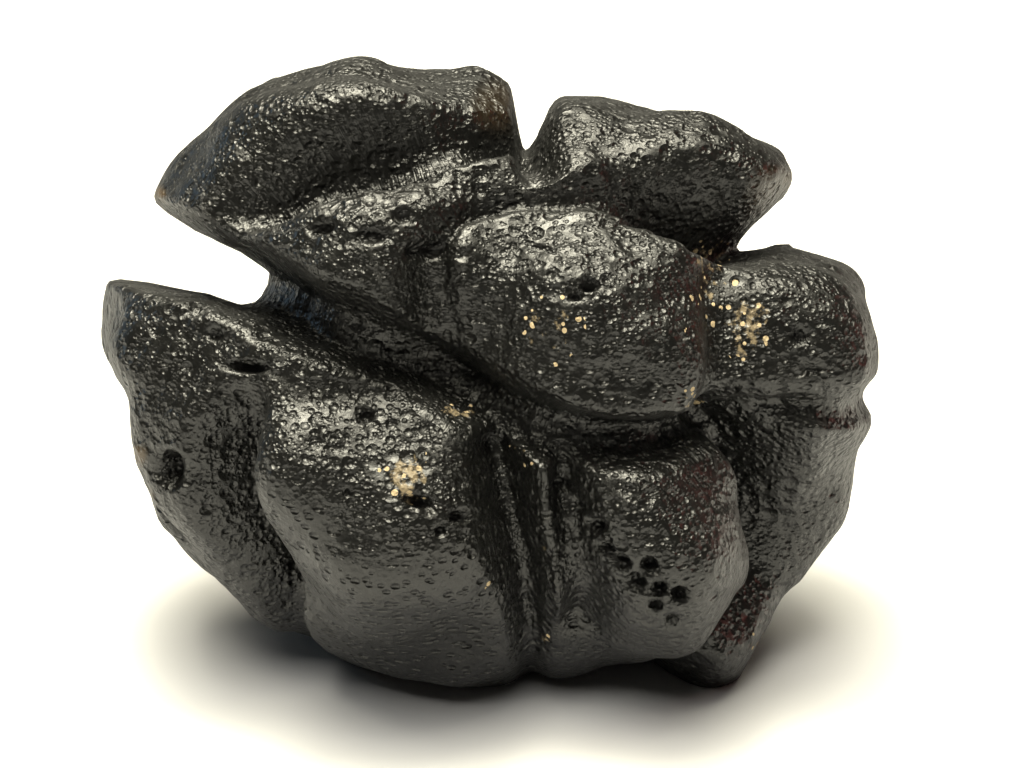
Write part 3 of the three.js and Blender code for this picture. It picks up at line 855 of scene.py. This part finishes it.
def tektite_glass():
    """Near-black natural glass, glossy under a fine pitted skin, with soil, a painted brown glow at the
    thinnest edges and painted brownish-red reflections in two patches.
    """
    material = bpy.data.materials.new("tektite_glass")
    material.use_nodes = True
    tree = material.node_tree
    shader = tree.nodes["Principled BSDF"]
    shader.inputs["IOR"].default_value = GLASS_IOR
    place = add(tree, "ShaderNodeTexCoord").outputs["Object"]
    mask = {
        name: add(tree, "ShaderNodeAttribute", attribute_name=name).outputs["Fac"]
        for name in ("pitted", "flow", "soil", "painted_glow_and_reflection")
    }
    bump = add(tree, "ShaderNodeBump", {"Strength": 1.0, "Distance": MM})
    tree.links.new(skin_height(tree, place, mask), bump.inputs["Height"])
    tree.links.new(bump.outputs[0], shader.inputs["Normal"])
    soil = soil_cover(tree, place, mask["soil"])
    # Painted light: brown mixed into the glass's colour as a glow at the thinnest edges and as reflections
    # in two patches.
    glass = mix(tree, mask["painted_glow_and_reflection"], GLASS_COLOUR, PAINTED_GLOW_AND_REFLECTION_COLOUR)
    tree.links.new(mix(tree, soil, glass, SOIL_COLOUR), shader.inputs["Base Color"])
    tree.links.new(glass_roughness(tree, place, soil), shader.inputs["Roughness"])
    return material


def give(mesh, name, values):
    """A number, or a vector, for each point of a mesh, under a name that its material reads."""
    kind = "FLOAT" if values.ndim == 1 else "FLOAT_VECTOR"
    layer = mesh.attributes.new(name, kind, "POINT")
    layer.data.foreach_set("value" if kind == "FLOAT" else "vector", values.astype(np.float32).ravel())


def make_stone():
    """The whole stone, in place of its plain solid."""
    points, index = stone_points()
    out = normals(points, index)
    along, across, flow, trough, slit = flow_lines(unit(points)).T
    # One of these masks is painted light: the brown glow at the thinnest edges and two painted reflections.
    soil, painted_glow_and_reflection, pitted = (patches(points, out[:, 2], table) for table in (SOIL, PAINTED_GLOW_AND_REFLECTION, PITTED))
    pitted = np.maximum(np.maximum(pitted, trough), upturned(out))
    points = points + out * (relief(points, out) - SLIT_DEPTH * slit)[:, None]
    places = stand_up(points)
    places[:, 2] = np.maximum(places[:, 2], 0)
    mesh = grid_mesh("philippinite_skin", places, index)
    give(mesh, "pitted", pitted)
    give(mesh, "flow_place", np.stack([along, across, np.zeros(len(points))], axis=1))
    give(mesh, "flow", flow)
    give(mesh, "soil", soil)
    give(mesh, "painted_glow_and_reflection", painted_glow_and_reflection)
    stone = bpy.data.objects.new("philippinite_skin", mesh)
    bpy.context.scene.collection.objects.link(stone)
    mesh.materials.append(tektite_glass())
    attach(stone, "root")
    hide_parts("philippinite")


# The floor, the lights and the camera, in metres

FLOOR_HALF = 0.9
FLOOR_COLOUR = (0.6, 0.6, 0.6, 1)
FLOOR_ROUGHNESS = 0.9
FLOOR_SHINE = 0.1
WARM = (1.0, 0.95, 0.76)
ROOM_COLOUR = (0.05, 0.047, 0.043, 1)
LENS = 175.8  # mm, which with the sensor's 36 mm shows 82 mm across at the stone's middle
SENSOR = 36
CLIP_NEAR = 0.02
CLIP_FAR = 10


def make_floor():
    """A plain pale surface."""
    mesh = bpy.data.meshes.new("floor")
    corners = [(x * FLOOR_HALF, y * FLOOR_HALF, 0) for x, y in ((-1, -1), (1, -1), (1, 1), (-1, 1))]
    mesh.from_pydata(corners, [], [(0, 1, 2, 3)])
    floor = bpy.data.objects.new("floor", mesh)
    bpy.context.scene.collection.objects.link(floor)
    material = bpy.data.materials.new("pale_surface")
    material.use_nodes = True
    shader = material.node_tree.nodes["Principled BSDF"]
    shader.inputs["Base Color"].default_value = FLOOR_COLOUR
    shader.inputs["Roughness"].default_value = FLOOR_ROUGHNESS
    shader.inputs["Specular IOR Level"].default_value = FLOOR_SHINE
    mesh.materials.append(material)


def softbox(name, place, target, size, power, colour, spread=180):
    """A square area light that looks at a target: metres, watts and degrees."""
    light = bpy.data.lights.new(name, "AREA")
    light.shape = "SQUARE"
    light.size = size
    light.energy = power
    light.color = colour
    light.spread = math.radians(spread)
    lamp = bpy.data.objects.new(name, light)
    bpy.context.scene.collection.objects.link(lamp)
    lamp.location = place
    aim = Vector(target) - Vector(place)
    lamp.rotation_euler = aim.to_track_quat("-Z", "Y").to_euler()
    return lamp


def make_lights():
    """A large soft light overhead that is brighter towards its middle, weak coloured fills at the sides,
    and a fill from the viewer's side that thins the shadow and isn't mirrored in the glass."""
    softbox("overhead", (-0.02, 0.07, 0.42), (0, 0.04, 0), 0.56, 2.9, WARM, 140)
    softbox("overhead_middle", (-0.03, 0.06, 0.41), (0, 0.0, 0), 0.26, 1.5, WARM, 140)
    softbox("overhead_lamp", (-0.05, 0.05, 0.4), (0, 0, 0), 0.1, 0.9, WARM)
    softbox("cool_fill", (-0.4, 0.3, 0.12), (0, 0, 0.02), 0.14, 0.12, (0.5, 0.76, 1.0))
    softbox("warm_fill", (0.4, 0.14, 0.08), (0, 0, 0.02), 0.12, 0.08, (1.0, 0.24, 0.2))
    front = softbox("front_fill", (-0.06, -0.25, 0.42), (0, -0.06, 0), 0.3, 1.8, (1.0, 0.97, 0.9))
    front.visible_glossy = False
    world = bpy.data.worlds.new("room")
    bpy.context.scene.world = world
    world.use_nodes = True
    world.node_tree.nodes["Background"].inputs["Color"].default_value = ROOM_COLOUR


def make_camera():
    """The photograph's view: 22 degrees down, 400 mm away."""
    camera = bpy.data.objects.new("camera", bpy.data.cameras.new("camera"))
    bpy.context.scene.collection.objects.link(camera)
    camera.data.lens = LENS
    camera.data.sensor_width = SENSOR
    camera.data.clip_start = CLIP_NEAR
    camera.data.clip_end = CLIP_FAR
    camera.location = stand_up(np.array([VIEW_AXIS[0], VIEW_AXIS[1], VIEW_DISTANCE]))
    camera.rotation_euler = (math.pi / 2 - VIEW_DOWN, 0, 0)
    bpy.context.scene.camera = camera


make_camera()
make_floor()
make_lights()
make_stone()
bpy.context.scene.view_settings.view_transform = "Standard"
